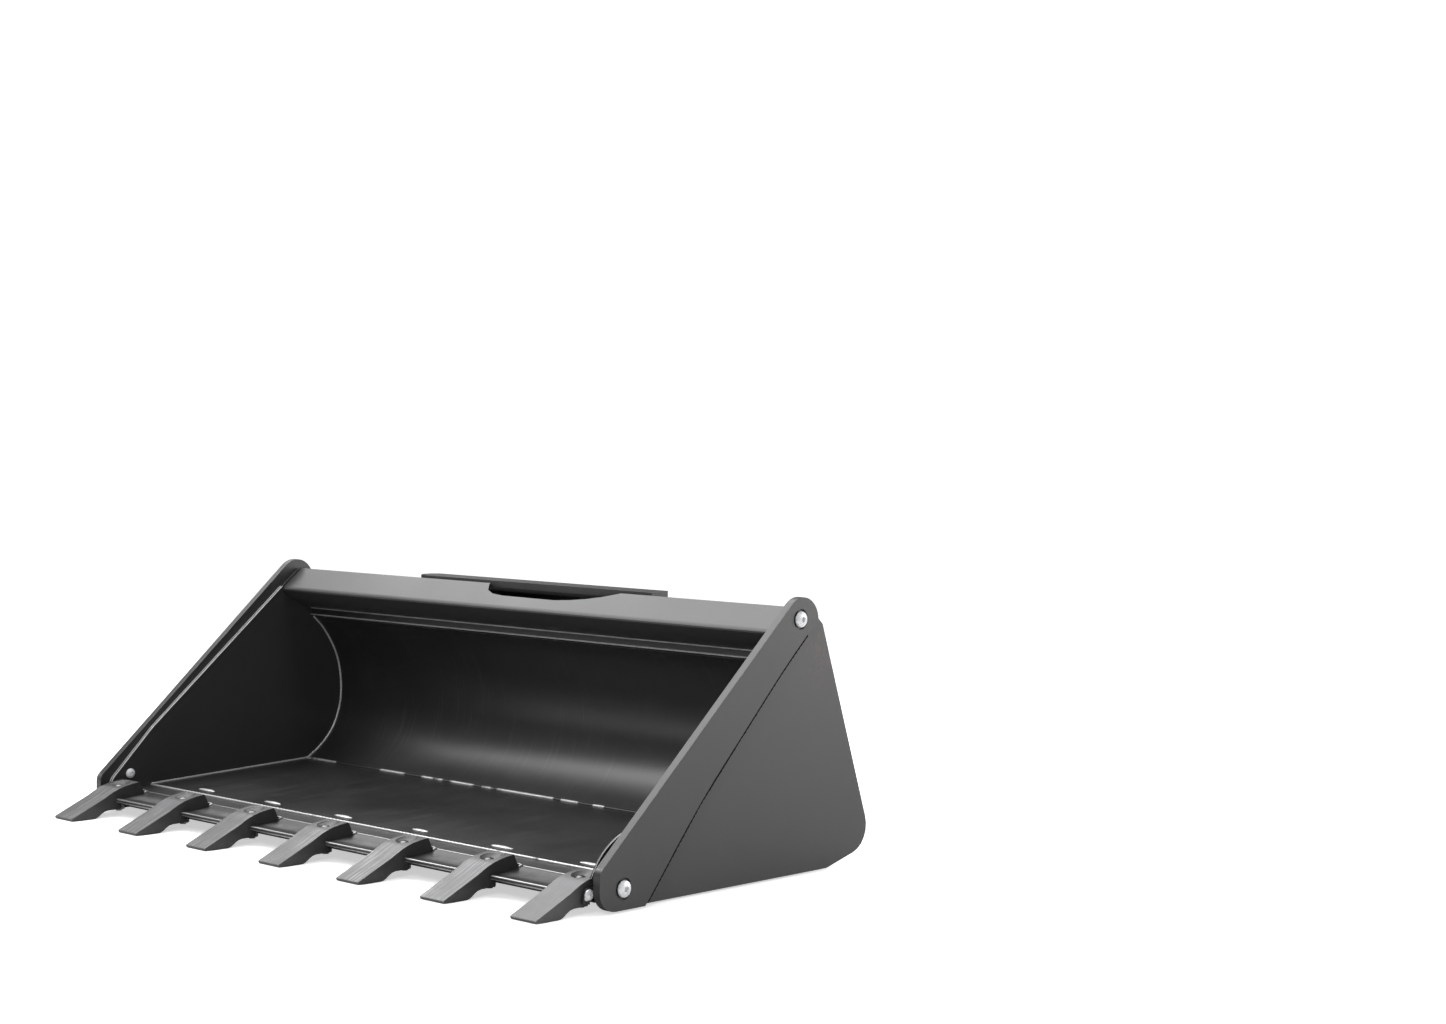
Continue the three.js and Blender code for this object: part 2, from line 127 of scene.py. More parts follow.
# Share of a weld ripple's length, and how much the bead swells over it
RIPPLE = ((0.25, 1.16), (0.4, 0.97), (0.35, 1.0 / (1.16 * 0.97)))
# The beads along the lip and along the front edges of the side plates are painted highlight
# lines: bright bare beads that stand for the highlights on these edges
LIP_BEAD, LIP_PITCH = 0.0014, 0.014
RIM_INNER, RIM_OUTER, RIM_PITCH = 0.0014, 0.0012, 0.012
# The beads behind the side cutters are painted shadow: matt black beads that stand for the
# shade in the step behind each cutter
SEAM_SHADOW_RADIUS, SEAM_SHADOW_PITCH = 0.0056, 0.012
SEAM_SHADOW_STANDS = (0.0044, 0.0096)  # how far the two layers stand out from the side plate
SEAM_SHADOW_SHIFT = Vector((0.70, -0.72)) * 0.0048  # square to the cutter's rear edge
STITCH_DEEP, STITCH_HIGH, STITCH_ROUGH = 0.0075, 0.0034, 0.0006
STITCH_BACK = 0.036  # behind the floor plate's front edge


# ---------------------------------------------------------------- settings
class BucketSizes(bpy.types.PropertyGroup):
    sheet_round: bpy.props.FloatProperty(
        name="Sheet edge", description="How far the cut edges of the plates are rounded",
        default=0.0012, min=0.0002, max=0.003, subtype="DISTANCE", unit="LENGTH")
    bar_round: bpy.props.FloatProperty(
        name="Heavy edge", description="How far the edges of the thick plates are rounded",
        default=0.0022, min=0.0002, max=0.005, subtype="DISTANCE", unit="LENGTH")
    tooth_round: bpy.props.FloatProperty(
        name="Tooth edge", description="How far the edges of the teeth are rounded",
        default=0.0016, min=0.0002, max=0.004, subtype="DISTANCE", unit="LENGTH")
    bead_radius: bpy.props.FloatProperty(
        name="Weld bead", description="Radius of the long weld beads",
        default=0.0042, min=0.001, max=0.008, subtype="DISTANCE", unit="LENGTH")
    bead_pitch: bpy.props.FloatProperty(
        name="Weld ripple", description="Distance between two ripples of a weld bead",
        default=0.0055, min=0.003, max=0.02, subtype="DISTANCE", unit="LENGTH")
    stitch_length: bpy.props.FloatProperty(
        name="Stitch length", description="Length of the short welds on the floor plate",
        default=0.066, min=0.02, max=0.12, subtype="DISTANCE", unit="LENGTH")


class BucketColours(bpy.types.PropertyGroup):
    paint: bpy.props.FloatVectorProperty(
        name="Paint", description="Black paint of the plates",
        default=(0.030, 0.030, 0.031), min=0.0, max=1.0, size=3, subtype="COLOR")
    # The scoop paint is darker than the outside paint: painted shade inside the scoop
    scoop: bpy.props.FloatVectorProperty(
        name="Scoop paint", description="Paint inside the scoop, dulled by the load",
        default=(0.012, 0.012, 0.0123), min=0.0, max=1.0, size=3, subtype="COLOR")
    edge: bpy.props.FloatVectorProperty(
        name="Edge steel", description="Worn paint of the cutting edge",
        default=(0.017, 0.017, 0.0175), min=0.0, max=1.0, size=3, subtype="COLOR")
    tooth: bpy.props.FloatVectorProperty(
        name="Tooth steel", description="Ground steel on top of the teeth",
        default=(0.10, 0.102, 0.104), min=0.0, max=1.0, size=3, subtype="COLOR")
    cast: bpy.props.FloatVectorProperty(
        name="Cast skin", description="Dark skin on the flanks of the teeth",
        default=(0.032, 0.032, 0.033), min=0.0, max=1.0, size=3, subtype="COLOR")
    bare: bpy.props.FloatVectorProperty(
        name="Bare steel", description="Steel rubbed bare on edges and welds",
        default=(0.42, 0.42, 0.42), min=0.0, max=1.0, size=3, subtype="COLOR")
    zinc: bpy.props.FloatVectorProperty(
        name="Zinc", description="Plating of the bolts and nuts",
        default=(0.74, 0.75, 0.76), min=0.0, max=1.0, size=3, subtype="COLOR")
    rust: bpy.props.FloatVectorProperty(
        name="Rust", description="Light rust at the rear corners of the sides",
        default=(0.10, 0.055, 0.035), min=0.0, max=1.0, size=3, subtype="COLOR")
    floor: bpy.props.FloatVectorProperty(
        name="Studio floor", description="Pale floor under the bucket",
        default=(0.86, 0.86, 0.86), min=0.0, max=1.0, size=3, subtype="COLOR")


# ---------------------------------------------------------------- workbench
def start_clean():
    """Object mode with nothing selected."""
    if bpy.context.object and bpy.context.object.mode != "OBJECT":
        bpy.ops.object.mode_set(mode="OBJECT")
    bpy.ops.object.select_all(action="DESELECT")


def pick(piece):
    """Selects one piece alone."""
    start_clean()
    piece.select_set(True)
    bpy.context.view_layer.objects.active = piece


def open_mesh(piece, kind="FACE", everything=False):
    """Edit mode on one piece, with all of it selected or none."""
    pick(piece)
    bpy.ops.object.mode_set(mode="EDIT")
    bpy.ops.mesh.select_mode(type=kind)
    bpy.ops.mesh.select_all(action="SELECT" if everything else "DESELECT")


def close_mesh():
    bpy.ops.object.mode_set(mode="OBJECT")


def choose_faces(piece, test):
    """Edit mode on one piece, with the faces selected whose normal passes the test."""
    open_mesh(piece)
    close_mesh()
    for face in piece.data.polygons:
        face.select = bool(test(face.normal))
    bpy.ops.object.mode_set(mode="EDIT")


def new_piece(name):
    """Names the primitive just added and puts its place into its mesh."""
    piece = bpy.context.object
    piece.name = piece.data.name = name
    bpy.ops.object.transform_apply(location=True, rotation=True, scale=True)
    return piece


def apply_all(piece):
    """Applies every modifier of a piece."""
    pick(piece)
    for modifier in list(piece.modifiers):
        bpy.ops.object.modifier_apply(modifier=modifier.name)


def cut_away(piece, tool):
    """Cuts a tool's shape out of a piece and removes the tool."""
    cut = piece.modifiers.new("Cut", "BOOLEAN")
    cut.operation, cut.solver, cut.object = "DIFFERENCE", "EXACT", tool
    apply_all(piece)
    bpy.data.objects.remove(tool)


def smooth(piece):
    """Smooth shading that stays crisp at the sharp edges and on the flat faces."""
    pick(piece)
    bpy.ops.object.shade_smooth_by_angle(angle=math.radians(SMOOTH_ANGLE))
    weighted = piece.modifiers.new("Flat faces stay flat", "WEIGHTED_NORMAL")
    weighted.keep_sharp = True
    bpy.ops.object.modifier_apply(modifier=weighted.name)


def settle(piece, finish, slot, *nodes):
    """Gives a finished piece its material and hangs it on the CAD body."""
    piece.data.materials.clear()
    piece.data.materials.append(finish)
    if nodes:
        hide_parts(*nodes)
    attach(piece, BODY)
    return piece


def copy_of(node):
    """A merged copy of a CAD node, with its flat faces whole again."""
    piece = bpy.data.objects.new(node + "_finished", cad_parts[node].data.copy())
    bpy.context.scene.collection.objects.link(piece)
    pick(piece)
    if piece.data.has_custom_normals:
        bpy.ops.mesh.customdata_custom_splitnormals_clear()
    open_mesh(piece, "VERT", True)
    bpy.ops.mesh.remove_doubles(threshold=MERGE_GAP)
    bpy.ops.mesh.dissolve_limited(angle_limit=math.radians(FLAT_ANGLE))
    close_mesh()
    return piece


def soften(piece, width):
    """Rounds the sharp edges and marks the narrow new faces for the wear."""
    open_mesh(piece, "EDGE")
    bpy.ops.mesh.edges_select_sharp(sharpness=math.radians(SHARP_ANGLE))
    bpy.ops.mesh.bevel(offset=width, offset_type="OFFSET", segments=ROUND_STEPS, profile=0.5,
                       affect="EDGES", clamp_overlap=True)
    close_mesh()
    mesh = piece.data
    marks = []
    for face in mesh.polygons:
        corners = [mesh.vertices[i].co for i in face.vertices]
        longest = max((a - b).length for a, b in zip(corners, corners[1:] + corners[:1]))
        marks.append(1.0 if face.area / max(longest, 1e-6) < width * 1.1 else 0.0)
    mesh.attributes.new("edge", "FLOAT", "FACE").data.foreach_set("value", marks)
    smooth(piece)


def dressed(nodes, width, finish, slot, before=None):
    """Stands a rounded, finished copy in the place of each CAD node."""
    for node in nodes:
        piece = copy_of(node)
        if before:
            before(piece)
        soften(piece, width)
        settle(piece, finish, slot, node)


def middle(node):
    """The middle of a CAD node's box."""
    low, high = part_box(node)
    return (low + high) / 2


# ---------------------------------------------------------------- shader parts
def wire(tree, kind, sockets=(), **settings):
    """Adds a node; each socket gets a number, a colour or another node's output."""
    made = tree.nodes.new("ShaderNode" + kind)
    for key, value in settings.items():
        setattr(made, key, value)
    for key, value in dict(sockets).items():
        if isinstance(value, bpy.types.NodeSocket):
            tree.links.new(value, made.inputs[key])
        else:
            made.inputs[key].default_value = value
    return made


def sums(tree, operation, first, second, clamp=False):
    """One Math node's output."""
    return wire(tree, "Math", {0: first, 1: second}, operation=operation,
                use_clamp=clamp).outputs[0]


def spread(tree, value, low, high, to_low=0.0, to_high=1.0, **settings):
    """A value stretched from one range to another and held inside it."""
    return wire(tree, "MapRange", {0: value, 1: low, 2: high, 3: to_low, 4: to_high},
                clamp=True, **settings).outputs[0]


def tint(tree, factor, first, second):
    """A mix of two colours."""
    return wire(tree, "Mix", {0: factor, 6: first, 7: second}, data_type="RGBA").outputs[2]


def clouds(tree, place, scale, detail=3.0, rough=0.55):
    """Soft noise, finer with a larger scale."""
    return wire(tree, "TexNoise", {"Vector": place, "Scale": scale, "Detail": detail,
                                   "Roughness": rough}).outputs["Fac"]


def scaled(tree, place, factors):
    """A place multiplied along each axis."""
    return wire(tree, "VectorMath", {0: place, 1: factors}, operation="MULTIPLY").outputs[0]


def lit(colour, factor):
    """A colour made lighter or darker."""
    return [c * factor for c in colour]


def rgba(colour):
    return (*colour[:3], 1.0)


def new_group(name, numbers, results):
    """An empty node group with a place, numbers to set and values to give."""
    group = bpy.data.node_groups.new(name, "ShaderNodeTree")
    group.interface.new_socket("Place", in_out="INPUT", socket_type="NodeSocketVector")
    for label, value in numbers.items():
        made = group.interface.new_socket(label, in_out="INPUT",
                                          socket_type="NodeSocketFloat")
        made.default_value = value
    for label in results:
        group.interface.new_socket(label, in_out="OUTPUT", socket_type="NodeSocketFloat")
    start = group.nodes.new("NodeGroupInput")
    end = group.nodes.new("NodeGroupOutput")
    return group, start.outputs, end.inputs


def use(tree, group, place, **numbers):
    """Puts a node group into a material and gives its outputs."""
    made = tree.nodes.new("ShaderNodeGroup")
    made.node_tree = bpy.data.node_groups[group]
    tree.links.new(place, made.inputs["Place"])
    for label, value in numbers.items():
        made.inputs[label].default_value = value
    return made.outputs


def make_paint_skin():
    """Fine orange peel as a height, and slow blotches as a shade."""
    group, start, end = new_group("Paint skin", {"Grain": 420.0}, ("Height", "Shade"))
    peel = clouds(group, start["Place"], start["Grain"], 2.0)
    runs = clouds(group, start["Place"], 34.0, 3.0)
    height = sums(group, "ADD", sums(group, "MULTIPLY", peel, 0.5),
                  sums(group, "MULTIPLY", runs, 0.8))
    broad = clouds(group, start["Place"], 3.2, 5.0, 0.6)
    fine = clouds(group, start["Place"], 60.0, 4.0, 0.7)
    shade = sums(group, "ADD", sums(group, "MULTIPLY", broad, 0.7),
                 sums(group, "MULTIPLY", fine, 0.3))
    group.links.new(height, end["Height"])
    group.links.new(spread(group, shade, 0.3, 0.7), end["Shade"])


def make_rubbed_edge():
    """Patchy mask on the rounded edges."""
    group, start, end = new_group("Rubbed edge", {"Reach": 0.5}, ("Mask",))
    edge = wire(group, "Attribute", attribute_name="edge",
                attribute_type="GEOMETRY").outputs["Fac"]
    patches = clouds(group, start["Place"], 26.0, 5.0, 0.7)
    level = sums(group, "SUBTRACT", 0.95, start["Reach"])
    high = sums(group, "ADD", level, 0.16)
    rubbed = spread(group, patches, level, high)
    group.links.new(sums(group, "MULTIPLY", edge, rubbed, True), end["Mask"])


def make_settled_dust():
    """Dust on faces that look up, thicker in patches."""
    group, start, end = new_group("Settled dust", {"Amount": 0.3}, ("Mask",))
    normal = wire(group, "NewGeometry").outputs["Normal"]
    up = wire(group, "SeparateXYZ", {0: normal}).outputs["Z"]
    facing = spread(group, up, 0.25, 0.95)
    patches = spread(group, clouds(group, start["Place"], 7.0, 6.0, 0.65), 0.35, 0.75)
    share = sums(group, "MULTIPLY", facing, patches)
    mask = sums(group, "MULTIPLY", share, start["Amount"], True)
    group.links.new(mask, end["Mask"])


def make_drag_marks():
    """Thin scratches that run front to back, from the load and the ground."""
    group, start, end = new_group("Drag marks", {"Fine": 150.0, "Share": 0.3},
                                  ("Mask", "Height"))
    stretch = wire(group, "CombineXYZ", {0: start["Fine"], 1: 4.0, 2: 4.0}).outputs[0]
    lines = clouds(group, scaled(group, start["Place"], stretch), 1.0, 5.0, 0.75)
    wide = clouds(group, start["Place"], 5.0, 3.0)
    low = sums(group, "SUBTRACT", 0.84, start["Share"])
    cut = spread(group, lines, low, sums(group, "ADD", low, 0.1))
    group.links.new(sums(group, "MULTIPLY", cut, spread(group, wide, 0.35, 0.6), True),
                    end["Mask"])
    group.links.new(lines, end["Height"])


def open_finish(name):
    """A new material, its tree, its shader's inputs and the place on the piece."""
    finish = bpy.data.materials.new(name)
    finish.use_nodes = True
    tree = finish.node_tree
    place = wire(tree, "TexCoord").outputs["Object"]
    return finish, tree, tree.nodes["Principled BSDF"].inputs, place


def add_bump(tree, shader, height, strength, distance):
    """Turns a height into small relief on the shader."""
    bump = wire(tree, "Bump", {"Height": height, "Strength": strength,
                               "Distance": distance})
    tree.links.new(bump.outputs["Normal"], shader["Normal"])


def make_paint(name, colour, light, rough, reach, dust, marks, rust):
    """Satin black paint: blotches, rubbed edges, dust and drag marks."""
    tones = bpy.context.scene.bucket_colours
    finish, tree, shader, place = open_finish(name)
    skin = use(tree, "Paint skin", place)
    rubbed = use(tree, "Rubbed edge", place, Reach=reach)["Mask"]
    dusty = use(tree, "Settled dust", place, Amount=dust)["Mask"]
    drag = use(tree, "Drag marks", place, Share=marks)
    base = tint(tree, skin["Shade"], rgba(colour), rgba(lit(colour, light)))
    base = tint(tree, sums(tree, "MULTIPLY", drag["Mask"], 0.35), base, rgba(SCRATCH_TONE))
    base = tint(tree, dusty, base, rgba(DUST_TONE))
    base = tint(tree, sums(tree, "MULTIPLY", rubbed, 0.75), base, rgba(tones.bare))
    if rust:
        apart = wire(tree, "SeparateXYZ", {0: place}).outputs
        high = spread(tree, apart["Z"], *RUST_HEIGHT)
        back = spread(tree, apart["Y"], *RUST_DEPTH)
        speck = spread(tree, clouds(tree, place, 110.0, 6.0, 0.8), 0.44, 0.6)
        patch = spread(tree, clouds(tree, place, 16.0, 3.0), 0.4, 0.56)
        mask = sums(tree, "MULTIPLY", sums(tree, "MULTIPLY", high, back),
                    sums(tree, "MULTIPLY", speck, patch))
        base = tint(tree, sums(tree, "MULTIPLY", mask, 0.7), base, rgba(tones.rust))
    tree.links.new(base, shader["Base Color"])
    gloss = spread(tree, skin["Shade"], 0.0, 1.0, rough - 0.04, rough + 0.05)
    gloss = sums(tree, "ADD", gloss, sums(tree, "MULTIPLY", dusty, 0.5), True)
    gloss = sums(tree, "SUBTRACT", gloss, sums(tree, "MULTIPLY", rubbed, 0.08), True)
    tree.links.new(gloss, shader["Roughness"])
    tree.links.new(sums(tree, "MULTIPLY", rubbed, 0.8), shader["Metallic"])
    add_bump(tree, shader, skin["Height"], 0.16, 0.0006)
    return finish


def make_segment_finish():
    """Edge paint with a band polished bare along the dish of each segment, lighter as a
    painted highlight.
    """
    tones = bpy.context.scene.bucket_colours
    finish, tree, shader, place = open_finish("Segment steel")
    skin = use(tree, "Paint skin", place, Grain=300.0)
    rubbed = use(tree, "Rubbed edge", place, Reach=0.72)["Mask"]
    drag = use(tree, "Drag marks", place, Share=0.3)
    apart = wire(tree, "SeparateXYZ", {0: place}).outputs
    wander = spread(tree, clouds(tree, place, 9.0, 3.0), 0.3, 0.7, -0.006, 0.006)
    depth = sums(tree, "ADD", apart["Y"], wander)
    rise = spread(tree, depth, *HIGHLIGHT_BAND_FRONT, interpolation_type="SMOOTHSTEP")
    fall = spread(tree, depth, *HIGHLIGHT_BAND_BACK, interpolation_type="SMOOTHSTEP")
    normal = wire(tree, "NewGeometry").outputs["Normal"]
    up = spread(tree, wire(tree, "SeparateXYZ", {0: normal}).outputs["Z"], 0.8, 0.95)
    patches = spread(tree, clouds(tree, place, 14.0, 5.0, 0.7), 0.25, 0.65, 0.12, 0.85)
    highlight_band = sums(tree, "MULTIPLY", sums(tree, "MULTIPLY", rise, fall),
                sums(tree, "MULTIPLY", up, patches))
    base = tint(tree, skin["Shade"], rgba(tones.edge), rgba(lit(tones.edge, 1.5)))
    base = tint(tree, sums(tree, "MULTIPLY", drag["Mask"], 0.3), base,
                rgba(SEGMENT_SCRATCH_TONE))
    # The band's lighter bare colour is a painted highlight along the dish
    base = tint(tree, highlight_band, base, rgba(lit(tones.bare, 0.5)))
    base = tint(tree, sums(tree, "MULTIPLY", rubbed, 0.85), base, rgba(tones.bare))
    tree.links.new(base, shader["Base Color"])
    worn = sums(tree, "MAXIMUM", sums(tree, "MULTIPLY", highlight_band, 0.3),
                sums(tree, "MULTIPLY", rubbed, 0.8))
    tree.links.new(worn, shader["Metallic"])
    tree.links.new(spread(tree, skin["Shade"], 0.0, 1.0, 0.28, 0.42), shader["Roughness"])
    add_bump(tree, shader, skin["Height"], 0.2, 0.0006)
    return finish


def make_tooth_finish():
    """Ground and scratched on top of the blade, dark cast skin elsewhere."""
    tones = bpy.context.scene.bucket_colours
    finish, tree, shader, place = open_finish("Tooth steel")
    skin = use(tree, "Paint skin", place, Grain=260.0)
    rubbed = use(tree, "Rubbed edge", place, Reach=0.82)["Mask"]
    drag = use(tree, "Drag marks", place, Fine=230.0, Share=0.36)
    normal = wire(tree, "NewGeometry").outputs["Normal"]
    facing = wire(tree, "SeparateXYZ", {0: normal}).outputs
    apart = wire(tree, "SeparateXYZ", {0: place}).outputs
    up = spread(tree, facing["Z"], 0.75, 0.9)
    blade = spread(tree, apart["Y"], *BLADE_BACK, 1.0, 0.0)
    patches = spread(tree, clouds(tree, place, 22.0, 5.0, 0.7), 0.25, 0.6, 0.55, 1.0)
    ground = sums(tree, "MULTIPLY", sums(tree, "MULTIPLY", up, blade), patches)
    dark = tint(tree, skin["Shade"], rgba(tones.cast), rgba(lit(tones.cast, 1.7)))
    steel = tint(tree, drag["Height"], rgba(lit(tones.tooth, 0.84)),
                 rgba(lit(tones.tooth, 1.12)))
    base = tint(tree, ground, dark, steel)
    scratched = sums(tree, "MULTIPLY", drag["Mask"], sums(tree, "MULTIPLY", ground, 0.5))
    base = tint(tree, scratched, base, rgba(tones.bare))
    base = tint(tree, sums(tree, "MULTIPLY", rubbed, 0.7), base, rgba(tones.bare))
    tree.links.new(base, shader["Base Color"])
    worn = sums(tree, "MAXIMUM", sums(tree, "MULTIPLY", ground, 0.35),
                sums(tree, "MULTIPLY", rubbed, 0.8))
    tree.links.new(worn, shader["Metallic"])
    tree.links.new(spread(tree, drag["Height"], 0.3, 0.7, 0.38, 0.52), shader["Roughness"])
    height = sums(tree, "ADD", skin["Height"], sums(tree, "MULTIPLY", drag["Height"], 0.6))
    add_bump(tree, shader, height, 0.24, 0.0008)
    return finish


def make_zinc_finish(name, bright, metal):
    """Plating with a soft grain and specks of grime."""
    tones = bpy.context.scene.bucket_colours
    finish, tree, shader, place = open_finish(name)
    skin = use(tree, "Paint skin", place, Grain=700.0)
    spots = spread(tree, clouds(tree, place, 160.0, 5.0, 0.7), 0.52, 0.7)
    base = tint(tree, skin["Shade"], rgba([c * bright * 0.9 for c in tones.zinc]),
                rgba([c * bright for c in tones.zinc]))
    base = tint(tree, sums(tree, "MULTIPLY", spots, 0.5), base,
                rgba([c * bright * 0.4 for c in tones.zinc]))
    tree.links.new(base, shader["Base Color"])
    shader["Metallic"].default_value = metal
    tree.links.new(spread(tree, skin["Shade"], 0.0, 1.0, 0.24, 0.38), shader["Roughness"])
    add_bump(tree, shader, skin["Height"], 0.2, 0.0003)
    return finish


def make_weld_finish(name, wear):
    """Painted weld metal, rubbed bare in patches on its high side."""
    tones = bpy.context.scene.bucket_colours
    finish, tree, shader, place = open_finish(name)
    skin = use(tree, "Paint skin", place, Grain=500.0)
    patches = clouds(tree, scaled(tree, place, (1.0, 0.4, 0.4)), 13.0, 3.0, 0.55)
    rubbed = spread(tree, patches, 0.95 - wear, 1.02 - wear)
    base = tint(tree, rubbed, rgba(lit(tones.paint, 0.7)), rgba(lit(tones.bare, 1.35)))
    tree.links.new(base, shader["Base Color"])
    tree.links.new(spread(tree, rubbed, 0.0, 1.0, 0.0, 0.5), shader["Metallic"])
    tree.links.new(spread(tree, skin["Shade"], 0.0, 1.0, 0.26, 0.42), shader["Roughness"])
    add_bump(tree, shader, skin["Height"], 0.25, 0.0005)
    return finish


def make_seam_shadow_finish():
    """Matt black painted shadow, laid as a bead in the seam behind each side cutter."""
    finish, tree, shader, place = open_finish("Seam seal")
    skin = use(tree, "Paint skin", place, Grain=240.0)
    deep, pale = SEAM_SHADOW_TONES
    tree.links.new(tint(tree, skin["Shade"], rgba(deep), rgba(pale)), shader["Base Color"])
    tree.links.new(spread(tree, skin["Shade"], 0.0, 1.0, 0.8, 0.95), shader["Roughness"])
    shader["Specular IOR Level"].default_value = 0.1
    add_bump(tree, shader, skin["Height"], 0.3, 0.001)
    return finish


def finish_called(name):
    return bpy.data.materials[name]


def shader_of(name):
    """The inputs of a finished material's shader."""
    return finish_called(name).node_tree.nodes["Principled BSDF"].inputs


# ---------------------------------------------------------------- operators
class BUCKET_OT_stage(bpy.types.Operator):
    """Pale floor, soft studio light and the camera"""
    bl_idname = "bucket.stage"
    bl_label = "Stage"

    def execute(self, context):
        scene = context.scene
        start_clean()
        bpy.ops.mesh.primitive_plane_add(size=60.0, location=(0.0, 0.0, 0.0))
        floor = new_piece("studio_floor")
        finish, tree, shader, place = open_finish("Studio floor")
        shade = clouds(tree, place, 1.5, 2.0)
        tone = scene.bucket_colours.floor
        tree.links.new(tint(tree, shade, rgba(lit(tone, 0.985)), rgba(tone)),
                       shader["Base Color"])
        shader["Roughness"].default_value = 0.75
        shader["Specular IOR Level"].default_value = 0.15
        away = wire(tree, "VectorMath", {0: place}, operation="LENGTH").outputs["Value"]
        glow = spread(tree, away, 0.8, 2.6, 0.56, 0.95)
        seen = wire(tree, "LightPath").outputs["Is Camera Ray"]
        shader["Emission Color"].default_value = (1.0, 1.0, 1.0, 1.0)
        tree.links.new(sums(tree, "MULTIPLY", glow, seen), shader["Emission Strength"])
        floor.data.materials.append(finish)

        world = bpy.data.worlds.new("Studio air")
        scene.world = world
        world.use_nodes = True
        tree = world.node_tree
        seen = wire(tree, "LightPath").outputs["Is Camera Ray"]
        strength = spread(tree, seen, 0.0, 1.0, 0.15, 1.1)
        air = tree.nodes["Background"].inputs
        air["Color"].default_value = (1.0, 1.0, 1.0, 1.0)
        tree.links.new(strength, air["Strength"])

        for name, place, aim, size, power in LAMPS:
            lamp = bpy.data.lights.new(name, "AREA")
            lamp.shape = "RECTANGLE"
            lamp.size, lamp.size_y = size
            lamp.energy = power
            holder = bpy.data.objects.new(name, lamp)
            scene.collection.objects.link(holder)
            turn = (Vector(aim) - Vector(place)).to_track_quat("-Z", "Y")
            holder.matrix_world = Matrix.Translation(place) @ turn.to_matrix().to_4x4()
            holder.visible_camera = False

        eye = bpy.data.cameras.new("Studio camera")
        eye.sensor_width = CAMERA_SENSOR
        eye.sensor_fit = "HORIZONTAL"
        eye.lens = CAMERA_LENS
        eye.clip_start, eye.clip_end = 0.1, 100.0
        holder = bpy.data.objects.new("Studio camera", eye)
        scene.collection.objects.link(holder)
        turn, dip, roll = (math.radians(angle) for angle in CAMERA_TURNS)
        ahead = Vector((-math.sin(turn) * math.cos(dip), math.cos(turn) * math.cos(dip),
                        -math.sin(dip)))
        right = Vector((math.cos(turn), math.sin(turn), 0.0))
        up = right.cross(ahead)
        side = right * math.cos(roll) + up * math.sin(roll)
        top = up * math.cos(roll) - right * math.sin(roll)
        aim = Matrix((side, top, -ahead)).transposed().to_4x4()
        holder.matrix_world = Matrix.Translation(CAMERA_PLACE) @ aim
        scene.camera = holder
        scene.view_settings.view_transform = "Standard"
        return {"FINISHED"}


class BUCKET_OT_finishes(bpy.types.Operator):
    """Paint, steel, zinc and weld materials"""
    bl_idname = "bucket.finishes"
    bl_label = "Finishes"

    def execute(self, context):
        tones = context.scene.bucket_colours
        make_paint_skin()
        make_rubbed_edge()
        make_settled_dust()
        make_drag_marks()
        for name, colour, *wear in PAINTS:
            make_paint(name, getattr(tones, colour), *wear)
        shader_of("Floor paint")["Specular IOR Level"].default_value = 0.36
        shader_of("Scoop paint")["Coat Weight"].default_value = 0.45
        shader_of("Scoop paint")["Coat Roughness"].default_value = 0.29
        make_segment_finish()
        make_tooth_finish()
        make_zinc_finish("Zinc plate", 1.18, 0.25)
        # The inner bolts get a lighter, non-metal copy of the zinc: painted light that
        # stands for the bright reflections on their heads
        make_zinc_finish("Dull zinc", 1.28, 0.0)
        make_zinc_finish("Worn plate", 0.20, 0.8)
        make_weld_finish("Weld worn", 0.50)
        make_weld_finish("Weld rubbed", 0.66)
        # Almost all bare and light: painted highlight on the lip and plate rim beads, and on
        # the floor and shell seam welds
        make_weld_finish("Weld bright", 0.92)
        make_seam_shadow_finish()
        return {"FINISHED"}


class BUCKET_OT_scoop(bpy.types.Operator):
    """Rolled shell and floor plate"""
    bl_idname = "bucket.scoop"
    bl_label = "Scoop"

    def execute(self, context):
        width = context.scene.bucket_sizes.sheet_round
        dressed(["shell"], width, finish_called("Scoop paint"), PAINT)
        dressed(["floor_plate"], width, finish_called("Floor paint"), PAINT)
        return {"FINISHED"}


class BUCKET_OT_sides(bpy.types.Operator):
    """Side plates and the bolted side cutters, with a seat sunk round each bolt"""
    bl_idname = "bucket.sides"
    bl_label = "Sides"

    def execute(self, context):
        sizes = context.scene.bucket_sizes
        paint = finish_called("Plate paint")
        for side, way in SIDES:
            dressed([f"side_plate_{side}"], sizes.sheet_round * 1.4,
                    finish_called("Side paint"), PAINT)

            def sink_seats(piece):
                for height in ("top", "low"):
                    spot = middle(f"side_bolt_{height}_{side}")
                    spot.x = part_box(f"side_cutter_{side}")[way > 0].x
                    start_clean()
                    bpy.ops.mesh.primitive_cylinder_add(
                        vertices=48, radius=SEAT_RADIUS, depth=SEAT_DEPTH, location=spot,
                        rotation=SIDEWAYS)
                    cut_away(piece, new_piece("seat_tool"))

            dressed([f"side_cutter_{side}"], sizes.bar_round * 1.4, paint, PAINT, sink_seats)
        return {"FINISHED"}


class BUCKET_OT_top(bpy.types.Operator):
    """Folded top beam, its lip and the two strips behind it"""
    bl_idname = "bucket.top"
    bl_label = "Top beam"

    def execute(self, context):
        width = context.scene.bucket_sizes.sheet_round
        dressed(["top_beam"], width, finish_called("Frame paint"), PAINT)
        dressed(("top_plate_left", "top_plate_right"), width * 6.2,
                finish_called("Frame paint"), PAINT)
        dressed(["top_lip"], width * 1.9, finish_called("Lip paint"), PAINT)
        return {"FINISHED"}


